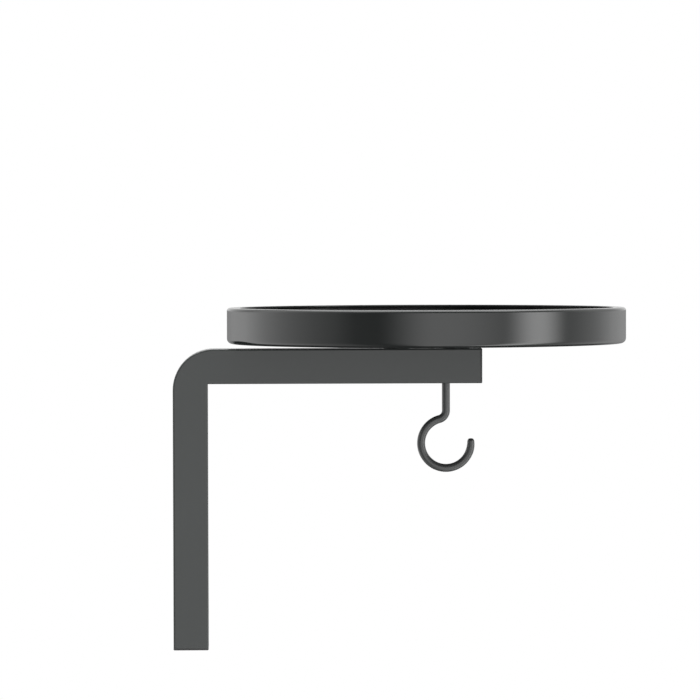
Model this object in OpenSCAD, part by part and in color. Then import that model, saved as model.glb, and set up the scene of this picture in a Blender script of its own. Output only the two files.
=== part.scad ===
// Wall plant shelf: a round pressed tray on a folded square-tube bracket, with a screw-in hook below.
// X runs out from the wall, Y along the wall, Z up.
// The origin lies on the wall, midway between the two wall-screw holes.

/* [Bracket] */
// Outside width of the square tube
tube_w = 20; // [18:1:25]
// Wall thickness of the square tube
tube_wall = 1.5; // [1:0.25:2]
// Radius of the tube's long outer edges
tube_edge_r = 1; // [0.6:0.2:3]
// Outside radius of the folded corner
corner_r = 23.5; // [14:0.5:32]
// Distance from the wall to the arm's free end, end cap included
arm_reach = 176.75; // [155:0.25:220]
// Distance from the arm's upper face to the leg's lower end, end cap included
leg_drop = 172; // [165:0.5:240]

/* [Wall fixing] */
// Distance between the two wall-screw holes
wall_hole_spacing = 100; // [60:5:105]
// Distance from the arm's upper face down to the upper wall-screw hole
upper_hole_drop = 48; // [36:1:52]
// Diameter of the holes in the leg's back wall
wall_hole_d = 5.5; // [4:0.5:7]
// Diameter of the holes in the leg's front wall that let the screw heads and driver through
access_hole_d = 11; // [9:0.5:13]

/* [Tray] */
// Outside diameter of the tray
tray_d = 228.5; // [180:0.5:280]
// Height of the tray from its underside to the top of its rim
tray_h = 20.5; // [14:0.5:30]
// Thickness of the tray's sheet
sheet_t = 1.2; // [1:0.1:1.5]
// Outside radius of the pressed corner between floor and wall
base_r = 3; // [2:0.25:6]
// Width of the flat lip turned inwards at the rim, from the wall's outside to the lip's edge
lip_w = 7; // [5:0.25:12]
// Outside radius of the bend between wall and lip
lip_r = 1.75; // [1.75:0.25:4]
// Distance from the arm's free end back to the tray's centre
tray_setback = 31.5; // [28.5:0.5:50]

/* [Tray fixing] */
// Distance between the two tray screws
tray_screw_spacing = 34; // [30:1:38]
// Height of the spacers between arm and tray
spacer_h = 2.8; // [2.6:0.1:6]
// Outside diameter of the spacers
spacer_d = 15; // [13:0.5:18]
// Thread diameter of the tray screws
screw_d = 4; // [3.5:0.1:4]
// Diameter of the tray screws' flat heads
screw_head_d = 7.5; // [7:0.25:8]
// Length of the tray screws, head included
screw_len = 12; // [10:1:14]
// Diameter of a rivet nut's body
rivet_body_d = 6; // [5.5:0.1:6.4]
// Diameter of a rivet nut's flange
rivet_flange_d = 9; // [8:0.25:9.5]
// Thickness of a rivet nut's flange
rivet_flange_t = 0.8; // [0.5:0.1:1]
// Length of a rivet nut below its flange
rivet_len = 9.2; // [8:0.2:10]
// Height of the swollen grip that holds a rivet nut under the wall
rivet_grip_h = 2.4; // [1.5:0.1:3]
// Distance that the grip swells out of the rivet nut's body
rivet_grip_out = 0.9; // [0.5:0.1:1.2]

/* [Hook] */
// Diameter of the coated wire
wire_d = 4.6; // [4:0.1:5.5]
// Distance from the arm's free end back to the hook's shank
hook_setback = 20.25; // [14.5:0.25:110]
// Straight length of the shank below the arm
shank_len = 15.9; // [8:0.1:40]
// Centreline radius of the bend between shank and ring
bend_r = 5.1; // [4:0.1:8]
// Centreline radius of the open ring
ring_r = 14.3; // [10:0.1:20]
// Angle of the ring's tip above the horizontal
tip_angle = 1.5; // [0:0.5:30]
// Thread diameter of the shank's upper end
thread_d = 4; // [3:0.1:4]
// Length of the threaded end above the shank
thread_len = 6; // [5:0.5:8]

/* [Hook nut] */
// Width across the flats of the weld nut
nut_flats = 9; // [8:0.5:11]
// Height of the weld nut's hexagon
nut_h = 3.5; // [3:0.25:5]
// Diameter of the nut's collar, which centres it in the hole
nut_collar_d = 6.2; // [5.6:0.1:7]
// Height of the nut's collar
nut_collar_h = 0.8; // [0.4:0.1:1]

/* [End caps] */
// Thickness of a cap's flange
cap_flange_t = 1.2; // [0.8:0.1:2]
// Depth of a cap's plug inside the tube
cap_depth = 6; // [5:0.5:8]
// Wall thickness of the plug
cap_wall = 1.4; // [1:0.1:2]
// Thickness of the plug's grip fins
fin_t = 0.8; // [0.6:0.1:1.2]
// Distance that the fins stand out of the plug
fin_out = 0.45; // [0.3:0.05:0.6]

/* [Hidden] */
$fn = 64;

// Smallest radius of the tube's long inner edges
least_bore_edge_r = 0.4;
// Radial clearance between a thread and its nut, and between a body and its hole
thread_gap = 0.05;
hole_gap = 0.05;
// Radial clearance of the tray screws in the tray and the spacers
screw_gap = 0.2;
// Clearance of a spacer round the pressed countersink and round the rivet nut's flange
seat_gap = 0.1;
flange_gap = 0.2;
// How far the countersink is wider than the screw's head, and how loosely the head lies in it
sink_margin = 0.2;
head_gap = 0.05;
// Clearance between the cap's fins and the tube
fin_gap = 0.05;
// Clearance between the hook's shoulder and the nut's collar
shoulder_gap = 0.1;
// How much fuller than the wire the balls at its joints are
joint_swell = 0.004;
// Depth of a cut beyond a face, or of one solid inside the next, so that no skin is left
over = 1;

arm_top_z = wall_hole_spacing / 2 + upper_hole_drop;
arm_bottom_z = arm_top_z - tube_w;
leg_len = leg_drop - cap_flange_t;
arm_len = arm_reach - cap_flange_t;
bore_w = tube_w - 2 * tube_wall;
bore_edge_r = max(tube_edge_r - tube_wall, least_bore_edge_r);
tray_z = arm_top_z + spacer_h;
tray_r = tray_d / 2;
tray_x = arm_reach - tray_setback;
hook_x = arm_reach - hook_setback;
screw_xs = [tray_x - tray_screw_spacing / 2, tray_x + tray_screw_spacing / 2];

// Countersink: a 90 degree cone, so that its depth equals its drop in radius
screw_hole_r = screw_d / 2 + screw_gap;
sink_r = screw_head_d / 2 + sink_margin;
sink_depth = sink_r - screw_hole_r;
// The sheet is pressed down round it, so its underside follows the cone one sheet thickness away
dimple_drop = sink_depth - sheet_t * (1 - 1 / sqrt(2));
dimple_top_r = sink_r + sheet_t * (sqrt(2) - 1);
dimple_low_r = dimple_top_r - dimple_drop;

// Where the S-shaped bend meets the ring, so that the ring hangs centred under the shank
bend_angle = acos(bend_r / (bend_r + ring_r));
ring_drop = shank_len + (bend_r + ring_r) * sin(bend_angle);
shoulder_rise = tube_wall - nut_collar_h - shoulder_gap;

coat = [0.29, 0.31, 0.31];
hook_coat = [0.33, 0.34, 0.34];
plastic = [0.13, 0.135, 0.14];
nylon = [0.1, 0.1, 0.1];
black_zinc = [0.16, 0.16, 0.17];
zinc = [0.72, 0.73, 0.74];

// Square of width w with round corners of radius r, centred
module rounded_square(w, r) {
    square([w, w - 2 * r], center = true);
    square([w - 2 * r, w], center = true);
    for (x = [-1, 1], y = [-1, 1])
        translate([x, y] * (w / 2 - r))
            circle(r);
}

// Disc lying in the X-Z plane, r wide, w thick, with its rim edges rounded by edge_r
module rounded_disc(r, w, edge_r) {
    rotate([90, 0, 0])
        rotate_extrude($fn = 128) {
            translate([0, -w / 2])
                square([r - edge_r, w]);
            translate([0, edge_r - w / 2])
                square([r, w - 2 * edge_r]);
            for (y = [-1, 1])
                translate([r - edge_r, y * (w / 2 - edge_r)])
                    circle(edge_r);
        }
}

// Solid L with the bracket's outline moved inwards by inset, and its two ends made longer by extra.
// X = 0 is the wall face and Z = 0 the arm's upper face.
module folded_tube(inset, edge_r, extra) {
    w = tube_w - 2 * inset;
    difference() {
        union() {
            translate([tube_w / 2, 0, -leg_len - extra])
                linear_extrude(leg_len + extra - inset)
                    rounded_square(w, edge_r);
            translate([inset, 0, -tube_w / 2])
                rotate([0, 90, 0])
                    linear_extrude(arm_len + extra - inset)
                        rounded_square(w, edge_r);
        }
        difference() {
            translate([-over, -tube_w, -corner_r])
                cube([corner_r + over, 2 * tube_w, corner_r + over]);
            translate([corner_r, 0, -corner_r])
                rounded_disc(corner_r - inset, w, edge_r);
        }
    }
}

module bracket() {
    color(coat)
        translate([0, 0, arm_top_z])
            difference() {
                folded_tube(0, tube_edge_r, 0);
                folded_tube(tube_wall, bore_edge_r, over);
                wall_screw_holes();
                for (x = screw_xs)
                    translate([x, 0, -tube_wall - over])
                        cylinder(d = rivet_body_d + 2 * hole_gap, h = tube_wall + 2 * over);
                translate([hook_x, 0, -tube_w - over])
                    cylinder(d = nut_collar_d + 2 * hole_gap, h = tube_wall + 2 * over);
            }
}

// Small holes through the leg's back wall, and larger ones in line through its front wall
module wall_screw_holes() {
    for (drop = [upper_hole_drop, upper_hole_drop + wall_hole_spacing])
        translate([0, 0, -drop])
            rotate([0, 90, 0]) {
                translate([0, 0, -over])
                    cylinder(d = wall_hole_d, h = tube_wall + 2 * over);
                translate([0, 0, tube_w - tube_wall - over])
                    cylinder(d = access_hole_d, h = tube_wall + 2 * over);
            }
}

// Plastic insert with its flange's outer face at Z = 0 and its plug rising from it
module end_cap() {
    plug_w = bore_w - 2 * fin_gap - 2 * fin_out;
    difference() {
        union() {
            linear_extrude(cap_flange_t)
                rounded_square(tube_w, tube_edge_r);
            linear_extrude(cap_flange_t + cap_depth)
                rounded_square(plug_w, bore_edge_r);
            for (z = [1 / 4, 3 / 4] * cap_depth)
                translate([0, 0, cap_flange_t + z])
                    linear_extrude(fin_t)
                        rounded_square(plug_w + 2 * fin_out, bore_edge_r);
        }
        translate([0, 0, cap_flange_t])
            linear_extrude(cap_depth + over)
                square(plug_w - 2 * cap_wall, center = true);
    }
}

module arm_end_cap() {
    color(plastic)
        translate([arm_reach, 0, arm_top_z - tube_w / 2])
            rotate([0, -90, 0])
                end_cap();
}

module leg_end_cap() {
    color(plastic)
        translate([tube_w / 2, 0, arm_top_z - leg_drop])
            end_cap();
}

// Quarter of a bent sheet's section: outside radius r, with its two ends on the axes
module sheet_bend(r) {
    intersection() {
        difference() {
            circle(r);
            circle(r - sheet_t);
        }
        square(r);
    }
}

// Half section of the tray: floor, pressed corner, upright wall, and the lip turned inwards
module tray_section() {
    square([tray_r - base_r, sheet_t]);
    translate([tray_r - base_r, base_r])
        mirror([0, 1])
            sheet_bend(base_r);
    translate([tray_r - sheet_t, base_r])
        square([sheet_t, tray_h - base_r - lip_r]);
    translate([tray_r - lip_r, tray_h - lip_r])
        sheet_bend(lip_r);
    translate([tray_r - lip_w, tray_h - sheet_t])
        square([lip_w - lip_r, sheet_t]);
}

module tray() {
    color(coat)
        difference() {
            union() {
                translate([tray_x, 0, tray_z])
                    rotate_extrude($fn = 180)
                        tray_section();
                for (x = screw_xs)
                    translate([x, 0, tray_z - dimple_drop])
                        cylinder(
                            r1 = dimple_low_r,
                            r2 = dimple_top_r + sheet_t / 2,
                            h = dimple_drop + sheet_t / 2
                        );
            }
            for (x = screw_xs)
                translate([x, 0, tray_z + sheet_t]) {
                    translate([0, 0, -sink_depth])
                        cylinder(r1 = screw_hole_r, r2 = sink_r, h = sink_depth);
                    translate([0, 0, -sheet_t - dimple_drop - over])
                        cylinder(r = screw_hole_r, h = sheet_t + dimple_drop + 2 * over);
                }
        }
}

// Rings that stand on the arm round the rivet nuts and hold the tray's pressed countersinks
module tray_spacers() {
    color(nylon)
        for (x = screw_xs)
            translate([x, 0, arm_top_z])
                difference() {
                    cylinder(d = spacer_d, h = spacer_h);
                    translate([0, 0, -over])
                        cylinder(r = rivet_flange_d / 2 + flange_gap, h = over + rivet_flange_t + seat_gap);
                    cylinder(r = screw_hole_r, h = spacer_h);
                    translate([0, 0, spacer_h - dimple_drop - seat_gap])
                        cylinder(
                            r1 = dimple_low_r + seat_gap,
                            r2 = dimple_top_r + 2 * seat_gap,
                            h = dimple_drop + seat_gap
                        );
                }
}

// Flat-head screws, sunk just below the tray's floor, with a cross recess
module tray_screws() {
    head_r = screw_head_d / 2;
    head_h = head_r - screw_d / 2;
    head_drop = sink_margin - head_gap;
    recess_w = 0.9;
    recess_span = 4.2;
    recess_depth = 1.6;
    color(black_zinc)
        for (x = screw_xs)
            translate([x, 0, tray_z + sheet_t - head_drop])
                difference() {
                    union() {
                        translate([0, 0, -head_h])
                            cylinder(r1 = screw_d / 2, r2 = head_r, h = head_h);
                        translate([0, 0, -screw_len])
                            cylinder(d = screw_d, h = screw_len - head_h);
                    }
                    for (turn = [0, 90])
                        rotate([0, 0, turn])
                            translate([-recess_span / 2, -recess_w / 2, -recess_depth])
                                cube([recess_span, recess_w, recess_depth + over]);
                }
}

// Rivet nuts set in the arm's upper wall: flange on top, swollen grip below the wall
module tray_rivet_nuts() {
    color(zinc)
        for (x = screw_xs)
            translate([x, 0, arm_top_z])
                difference() {
                    union() {
                        cylinder(d = rivet_flange_d, h = rivet_flange_t);
                        translate([0, 0, -rivet_len])
                            cylinder(d = rivet_body_d, h = rivet_len);
                        translate([0, 0, -tube_wall - rivet_grip_h])
                            cylinder(
                                r1 = rivet_body_d / 2,
                                r2 = rivet_body_d / 2 + rivet_grip_out,
                                h = rivet_grip_h
                            );
                    }
                    translate([0, 0, -rivet_len - over])
                        cylinder(d = screw_d + 2 * thread_gap, h = rivet_len + rivet_flange_t + 2 * over);
                }
}

// Hexagonal weld nut on the inside of the arm's lower wall, its collar down in the hole
module hook_weld_nut() {
    color(zinc)
        translate([hook_x, 0, arm_bottom_z + tube_wall])
            difference() {
                union() {
                    cylinder(d = nut_flats / cos(30), h = nut_h, $fn = 6);
                    translate([0, 0, -nut_collar_h])
                        cylinder(d = nut_collar_d, h = nut_collar_h);
                }
                translate([0, 0, -nut_collar_h - over])
                    cylinder(d = thread_d + 2 * thread_gap, h = nut_h + nut_collar_h + 2 * over);
            }
}

// Arc of round wire in the X-Z plane about the origin, from angle a1 to angle a2
module wire_arc(r, a1, a2) {
    rotate([90, 0, 0])
        rotate([0, 0, a1])
            rotate_extrude(angle = a2 - a1, $fn = 128)
                translate([r, 0])
                    circle(d = wire_d);
}

// Ball that joins two lengths of wire or rounds its tip. It is fuller than the wire by a hair,
// so that the lengths that it joins become one solid.
module wire_ball() {
    sphere(r = wire_d / 2 + joint_swell);
}

module hook() {
    chamfer = 0.5;
    color(hook_coat)
        translate([hook_x, 0, arm_bottom_z]) {
            translate([0, 0, shoulder_rise - over])
                cylinder(d = thread_d, h = over + thread_len - chamfer);
            translate([0, 0, shoulder_rise + thread_len - chamfer])
                cylinder(d1 = thread_d, d2 = thread_d - 2 * chamfer, h = chamfer);
            translate([0, 0, -shank_len])
                cylinder(d = wire_d, h = shank_len + shoulder_rise);
            translate([0, 0, -shank_len])
                wire_ball();
            translate([-bend_r, 0, -shank_len]) {
                wire_arc(bend_r, -bend_angle, 0);
                rotate([0, bend_angle, 0])
                    translate([bend_r, 0, 0])
                        wire_ball();
            }
            translate([0, 0, -ring_drop]) {
                wire_arc(ring_r, 180 - bend_angle, 360 + tip_angle);
                rotate([0, -tip_angle, 0])
                    translate([ring_r, 0, 0])
                        wire_ball();
            }
        }
}

bracket();
arm_end_cap();
leg_end_cap();
tray();
tray_spacers();
tray_screws();
tray_rivet_nuts();
hook_weld_nut();
hook();
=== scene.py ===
# %% [markdown]
# # A wall plant shelf: dressing the model
#
# The shelf is a round spun tray on an L of square steel tube, with an open wire hook under the arm.
# The parts are already built to size, so this lesson loads them as a fixed frame and gives them
# their finish: a satin powder coat, zinc on the screws and nuts, plastic in the tube ends. The tray
# gets an evener mesh here, because the light runs along its bends. The end caps, the hook, the tray
# screws and the nuts get a fuller one, because rounded edges, threads and cross recesses are too
# fine for the solid model.

# %% Load the frame
import math

import bmesh
import bpy
from mathutils import Matrix, Vector


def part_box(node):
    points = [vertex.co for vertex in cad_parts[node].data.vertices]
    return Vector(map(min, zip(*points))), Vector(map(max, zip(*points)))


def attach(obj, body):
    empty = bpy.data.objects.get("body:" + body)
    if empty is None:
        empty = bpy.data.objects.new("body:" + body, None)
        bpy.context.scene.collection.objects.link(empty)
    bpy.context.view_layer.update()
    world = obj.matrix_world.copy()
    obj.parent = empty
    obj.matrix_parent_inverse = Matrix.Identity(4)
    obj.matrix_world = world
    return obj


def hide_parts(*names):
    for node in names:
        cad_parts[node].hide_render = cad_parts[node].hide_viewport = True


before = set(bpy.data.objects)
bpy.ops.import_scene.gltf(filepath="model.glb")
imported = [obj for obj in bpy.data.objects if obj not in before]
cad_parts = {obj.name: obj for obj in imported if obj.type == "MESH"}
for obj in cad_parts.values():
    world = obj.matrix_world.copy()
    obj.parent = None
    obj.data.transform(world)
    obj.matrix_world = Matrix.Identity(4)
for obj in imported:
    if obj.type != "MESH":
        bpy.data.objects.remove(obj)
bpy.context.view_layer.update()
MM = 0.001

for name in sorted(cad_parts):
    low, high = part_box(name)
    size = [round((high[i] - low[i]) / MM, 1) for i in range(3)]
    print(f"{name}: {size[0]} x {size[1]} x {size[2]} mm")

# %% [markdown]
# ## The camera
#
# The shelf is seen almost side on, from a little above the tray's rim and far away, so that the arm
# hardly narrows towards its end. A long lens gives that: 180 mm on a 36 mm sensor, two metres off.
# The camera is turned and tipped by about two degrees instead of shifted, because a shift would
# push the shelf out of the middle when the same camera walks round it.

# %% Place the camera
CAMERA_PLACE = Vector((31.5, -2004.1, 150.5)) * MM
CAMERA_TURN = math.radians(2.0)
CAMERA_TIP = math.radians(1.529)
CAMERA_ROLL = math.radians(-0.135)

camera_data = bpy.data.cameras.new("side_camera")
camera_data.sensor_width = 36
camera_data.lens = 180
camera = bpy.data.objects.new("side_camera", camera_data)
turned = Matrix.Rotation(-CAMERA_TURN, 4, "Z")
tipped = Matrix.Rotation(math.radians(90) - CAMERA_TIP, 4, "X")
rolled = Matrix.Rotation(CAMERA_ROLL, 4, "Z")
camera.matrix_world = Matrix.Translation(CAMERA_PLACE) @ turned @ tipped @ rolled
bpy.context.scene.collection.objects.link(camera)
bpy.context.scene.camera = camera
print(f"camera {CAMERA_PLACE.length:.2f} m from the wall fixing")

# %% [markdown]
# ## Helpers for node trees
#
# Light and finishes are both node trees. A few helpers keep them short: one makes an empty node
# group from a list of sockets, one fills a node's sockets with values or links, and the others add
# a node of any kind, a Math node or a group in one line.

# %% Add nodes, groups and sums
def new_group(name, inputs, outputs):
    """Shader node group with (name, type, value) inputs and (name, type) outputs."""
    group = bpy.data.node_groups.new(name, "ShaderNodeTree")
    for label, kind, value in inputs:
        socket = group.interface.new_socket(name=label, in_out="INPUT", socket_type=kind)
        if value is not None:
            socket.default_value = value
    for label, kind in outputs:
        group.interface.new_socket(name=label, in_out="OUTPUT", socket_type=kind)
    return group, group.nodes.new("NodeGroupInput"), group.nodes.new("NodeGroupOutput")


def feed(tree, node, **values):
    """Fills a node's sockets, each with a number, a colour or a link from another socket. _0 means
    the first socket, and From_Min the one called From Min."""
    for key, value in values.items():
        where = int(key[1:]) if key[0] == "_" else key.replace("_", " ")
        if isinstance(value, bpy.types.NodeSocket):
            tree.links.new(value, node.inputs[where])
        else:
            node.inputs[where].default_value = value
    return node


def add(tree, kind, settings=None, **values):
    """Adds a node with its settings and fills its sockets."""
    node = tree.nodes.new("ShaderNode" + kind)
    for key, value in (settings or {}).items():
        setattr(node, key, value)
    return feed(tree, node, **values)


def maths(tree, operation, a, b=0.0, clamp=False):
    """One Math node, as an output socket."""
    node = add(tree, "Math", settings={"operation": operation, "use_clamp": clamp}, _0=a, _1=b)
    return node.outputs[0]


def use_group(tree, group, **values):
    """Places a shared group in a tree and fills its sockets."""
    node = tree.nodes.new("ShaderNodeGroup")
    node.node_tree = group
    return feed(tree, node, **values)


FLOAT, VECTOR = "NodeSocketFloat", "NodeSocketVector"

# %% [markdown]
# ## The studio
#
# A dark satin finish shows its surroundings more than its own colour. The tray's wall is a
# cylinder, so every direction round the studio turns up on it as an upright band, and the bands in
# the picture tell how the studio was lit. The room is brightest beyond the shelf on both sides,
# darker straight behind it, dim behind the camera, and a little brighter on the wall's side. A wide
# soft panel stands behind the camera to the right, and its left edge makes the step near the tray's
# middle. A narrow strip further right makes the bright band.
#
# All three are painted in the world shader by compass bearing, because painted light can fade out
# at its edges as a real softbox does. Zero is straight out towards the camera's side, and positive
# bearings turn away from the wall. The panel and the strip differ only in their numbers, so they
# share one group.

# %% Group: softbox
FULL_HEIGHT = 0.75  # of a softbox's height is fully bright, and above that it fades


def soft_step(tree, value, start, end, height=1.0):
    """Goes smoothly from 0 to a height as a value goes from start to end."""
    node = add(
        tree, "MapRange", settings={"interpolation_type": "SMOOTHSTEP"},
        Value=value, From_Min=start, From_Max=end, To_Max=height,
    )
    return node.outputs[0]


def softbox_group():
    """Mask of a soft-edged panel that stands on the floor. Its bearings in degrees are where it
    starts, is full, starts to fade, and ends. Top is its height as the sine of the elevation."""
    sockets = ("Bearing", "Height", "Start", "Full", "Fade", "End", "Top")
    tree, given, result = new_group(
        "softbox", [(label, FLOAT, 0.0) for label in sockets], [("Mask", FLOAT)],
    )
    bearing, top = given.outputs["Bearing"], given.outputs["Top"]
    rise = soft_step(tree, bearing, given.outputs["Start"], given.outputs["Full"])
    fall = soft_step(tree, bearing, given.outputs["End"], given.outputs["Fade"])
    full_top = maths(tree, "MULTIPLY", top, FULL_HEIGHT)
    upright = soft_step(tree, given.outputs["Height"], top, full_top)
    across = maths(tree, "MULTIPLY", rise, fall)
    feed(tree, result, Mask=maths(tree, "MULTIPLY", across, upright))
    return tree


SOFTBOX = softbox_group()
print("group", SOFTBOX.name)

# %% [markdown]
# ### The walls
#
# Below eye level the walls keep the tone of their bearing down to the floor. Straight behind, the
# backdrop is white from just above eye level upwards, and the flat lip of the tray and the slit
# under it catch that at a grazing angle. A colour ramp holds the levels, because a few stops are
# enough for light that changes slowly.

# %% Paint the walls
# Pairs of a place along the room, from -1 behind the camera to 1 behind the shelf, and its level
ROOM_LEVELS = [
    (-1.0, 0.30), (-0.72, 0.34), (-0.55, 0.78), (-0.2, 1.28), (0.2, 1.80),
    (0.5, 2.02), (0.65, 1.85), (0.85, 1.08), (1.0, 0.35),
]
ROOM_LEAN = 0.21
LEAST_LEVEL_PART = 0.1
BACKDROP_LEVEL = 1.15
BACKDROP_RISE = 0.025
BACKDROP_EDGE = (0.3, 0.7)

scene = bpy.context.scene
scene.view_settings.view_transform = "Standard"
world = bpy.data.worlds.new("studio")
scene.world = world
world.use_nodes = True
room = world.node_tree
room.nodes.clear()

direction = add(room, "TexCoord").outputs["Generated"]
split = add(room, "SeparateXYZ", _0=direction)
out_x, along_y, up_z = (split.outputs[axis] for axis in "XYZ")
depth = maths(room, "MINIMUM", up_z, 0.0)
depth_squared = maths(room, "MULTIPLY", depth, depth)
level_part = maths(room, "SQRT", maths(room, "SUBTRACT", 1.0, depth_squared))
level_part = maths(room, "MAXIMUM", level_part, LEAST_LEVEL_PART)
along_room = maths(room, "DIVIDE", along_y, level_part)
spread = add(room, "MapRange", Value=along_room, From_Min=-1.0)
fade = add(room, "ValToRGB", _0=spread.outputs[0])
while len(fade.color_ramp.elements) < len(ROOM_LEVELS):
    fade.color_ramp.elements.new(0.5)
for step, (along, level) in zip(fade.color_ramp.elements, ROOM_LEVELS):
    step.position = (along + 1) / 2
    step.color = (level, level, level, 1)
lean = maths(room, "MULTIPLY", out_x, -ROOM_LEAN)
walls = maths(room, "MULTIPLY", fade.outputs["Color"], maths(room, "ADD", lean, 1.0))

above = soft_step(room, up_z, 0.0, BACKDROP_RISE)
behind = soft_step(room, along_y, *BACKDROP_EDGE)
white = maths(room, "MULTIPLY", above, behind)
walls = add(room, "Mix", Factor=white, A=walls, B=BACKDROP_LEVEL).outputs[0]
print("room levels from behind the camera:", [level for along, level in ROOM_LEVELS])

# %% [markdown]
# ### The panels
#
# The panel and the strip add their light to the walls. Steeply down, a hollow dims walls and panels
# alike, and that draws the dark line along the tray's rounded bottom edge. The hollow is a soft
# round patch: how close a direction comes to its middle is a dot product.

# %% Stand the panels and dim the hollow
PANEL = {"Start": -32.0, "Full": 2.0, "Fade": 8.0, "End": 82.0, "Top": 0.36}
PANEL_LEVEL = 2.35
STRIP = {"Start": 40.0, "Full": 62.5, "Fade": 64.5, "End": 86.0, "Top": 0.36}
STRIP_LEVEL = 5.3
HOLLOW_WAY = (0.0, 0.5, -0.866)
HOLLOW_EDGE = (0.68, 0.85)
HOLLOW_DEPTH = 0.85


def likeness(tree, first, second):
    """Dot product of two directions, which is 1 where they are the same."""
    settings = {"operation": "DOT_PRODUCT"}
    return add(tree, "VectorMath", settings, _0=first, _1=second).outputs["Value"]


hollow = soft_step(room, likeness(room, direction, HOLLOW_WAY), *HOLLOW_EDGE, HOLLOW_DEPTH)
back = maths(room, "MULTIPLY", along_y, -1.0)
bearing = maths(room, "MULTIPLY", maths(room, "ARCTAN2", out_x, back), 180 / math.pi)
light = walls
for softbox, strength in ((PANEL, PANEL_LEVEL), (STRIP, STRIP_LEVEL)):
    mask = use_group(room, SOFTBOX, Bearing=bearing, Height=up_z, **softbox)
    light = maths(room, "ADD", light, maths(room, "MULTIPLY", mask.outputs[0], strength))
light = maths(room, "MULTIPLY", light, maths(room, "SUBTRACT", 1.0, hollow))
print(f"panel full from {PANEL['Full']} to {PANEL['Fade']} degrees, strip at {STRIP['Full']}")

# %% [markdown]
# Rays straight from the camera skip the painted studio and see plain white, as on the cut-out
# background of a catalogue picture.

# %% Hide the studio from the camera
studio_light = add(room, "Background", Strength=light)
backdrop = add(room, "Background", Color=(1, 1, 1, 1))
seen = add(room, "LightPath")
choose = add(
    room, "MixShader", _0=seen.outputs["Is Camera Ray"],
    _1=studio_light.outputs[0], _2=backdrop.outputs[0],
)
add(room, "OutputWorld", Surface=choose.outputs[0])
print("studio painted with", len(room.nodes), "nodes")

# %% [markdown]
# One real lamp hangs overhead, a square softbox a little behind the shelf. It draws the thin light
# line along the bend at the tray's rim, and it throws the soft shadow of the tray on the arm.

# %% Hang the top light
SHELF_MIDDLE_X = 0.145
TOP_SIZE = 3.2
TOP_WATTS_PER_M2 = 8.8
TOP_PLACE = (SHELF_MIDDLE_X, 0.3, 2.5)

top_data = bpy.data.lights.new("top_softbox", "AREA")
top_data.shape = "SQUARE"
top_data.size = TOP_SIZE
top_data.energy = TOP_WATTS_PER_M2 * TOP_SIZE ** 2
top_light = bpy.data.objects.new("top_softbox", top_data)
top_light.location = TOP_PLACE
top_light.visible_camera = False
scene.collection.objects.link(top_light)
print(f"top softbox: {TOP_SIZE} m square, {top_data.energy:.0f} W")

# %% [markdown]
# ## The floor
#
# The shelf hangs on a wall at about eye level, so the floor lies well below it. It is a round
# sheet, small enough that its far edge stays out of the level view and large enough to fill the
# views from well above, and pale enough to pass into the white backdrop. Mirror-like rays go
# through it to the painted studio, so that it doesn't wash out the dark lines under the tray.

# %% Lay the floor
FLOOR_Z = -1.92
FLOOR_RADIUS = 14.0
FLOOR_SIDES = 96
FLOOR_TONE = 0.88
FLOOR_ROUGHNESS = 0.8

floor_mesh = bpy.data.meshes.new("floor")
disc = bmesh.new()
bmesh.ops.create_circle(disc, cap_ends=True, segments=FLOOR_SIDES, radius=FLOOR_RADIUS)
disc.to_mesh(floor_mesh)
disc.free()
floor = bpy.data.objects.new("floor", floor_mesh)
floor.location = (SHELF_MIDDLE_X, 0, FLOOR_Z)
floor.visible_glossy = False
scene.collection.objects.link(floor)

floor_paint = bpy.data.materials.new("pale_floor")
floor_paint.use_nodes = True
feed(
    floor_paint.node_tree, floor_paint.node_tree.nodes["Principled BSDF"],
    Base_Color=(FLOOR_TONE, FLOOR_TONE, FLOOR_TONE, 1), Roughness=FLOOR_ROUGHNESS,
)
floor_mesh.materials.append(floor_paint)
print(f"floor {-FLOOR_Z} m below the wall fixing")

# %% [markdown]
# ## Shared effects
#
# Several finishes need the same small effects, so each effect is one shader node group with named
# sockets, placed in every material with its own values.
#
# ### Orange peel
#
# Powder coat melts and flows as it cures, and never quite levels. It leaves a soft ripple about a
# millimetre across, called orange peel, with a much finer bite on top. Both only tilt the surface,
# so the group puts out a height for a Bump node. It also puts out a slow unevenness, which shifts
# the gloss a little from place to place, as on a real coated part.

# %% Group: orange peel
SLOW_SCALE = 45.0


def noise(tree, place, scale, detail, roughness=0.5):
    """One noise texture, as an output socket."""
    node = add(tree, "TexNoise", Vector=place, Scale=scale, Detail=detail, Roughness=roughness)
    return node.outputs[0]


def orange_peel_group():
    """Ripple and Bite are sizes in mm, and Bite Share is how much of the height is bite."""
    tree, given, result = new_group(
        "orange_peel",
        [("Place", VECTOR, None), ("Ripple", FLOAT, 1.4), ("Bite", FLOAT, 0.18),
         ("Bite Share", FLOAT, 0.2)],
        [("Height", FLOAT), ("Unevenness", FLOAT)],
    )
    place = given.outputs["Place"]
    # Object coordinates are metres, so a ripple of r millimetres is a noise scale of 1000 / r
    ripple_scale = maths(tree, "DIVIDE", 1 / MM, given.outputs["Ripple"])
    bite_scale = maths(tree, "DIVIDE", 1 / MM, given.outputs["Bite"])
    ripple = noise(tree, place, ripple_scale, detail=2.0, roughness=0.4)
    bite = noise(tree, place, bite_scale, detail=1.0)
    slow = noise(tree, place, SLOW_SCALE, detail=3.0, roughness=0.55)
    height = add(tree, "Mix", Factor=given.outputs["Bite Share"], A=ripple, B=bite)
    feed(tree, result, Height=height.outputs[0], Unevenness=slow)
    return tree


ORANGE_PEEL = orange_peel_group()
print("group", ORANGE_PEEL.name)

# %% [markdown]
# ### Edges
#
# A coat pulls thin over a sharp edge, and hands rub it there first, so edges read slightly lighter
# and smoother than the faces beside them. A Bevel node blends the normals of faces that lie within
# a radius. Where its normal differs from the true one there is an edge, and the difference serves
# as a mask. No extra geometry is needed, and the mask is the same from every side.

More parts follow.
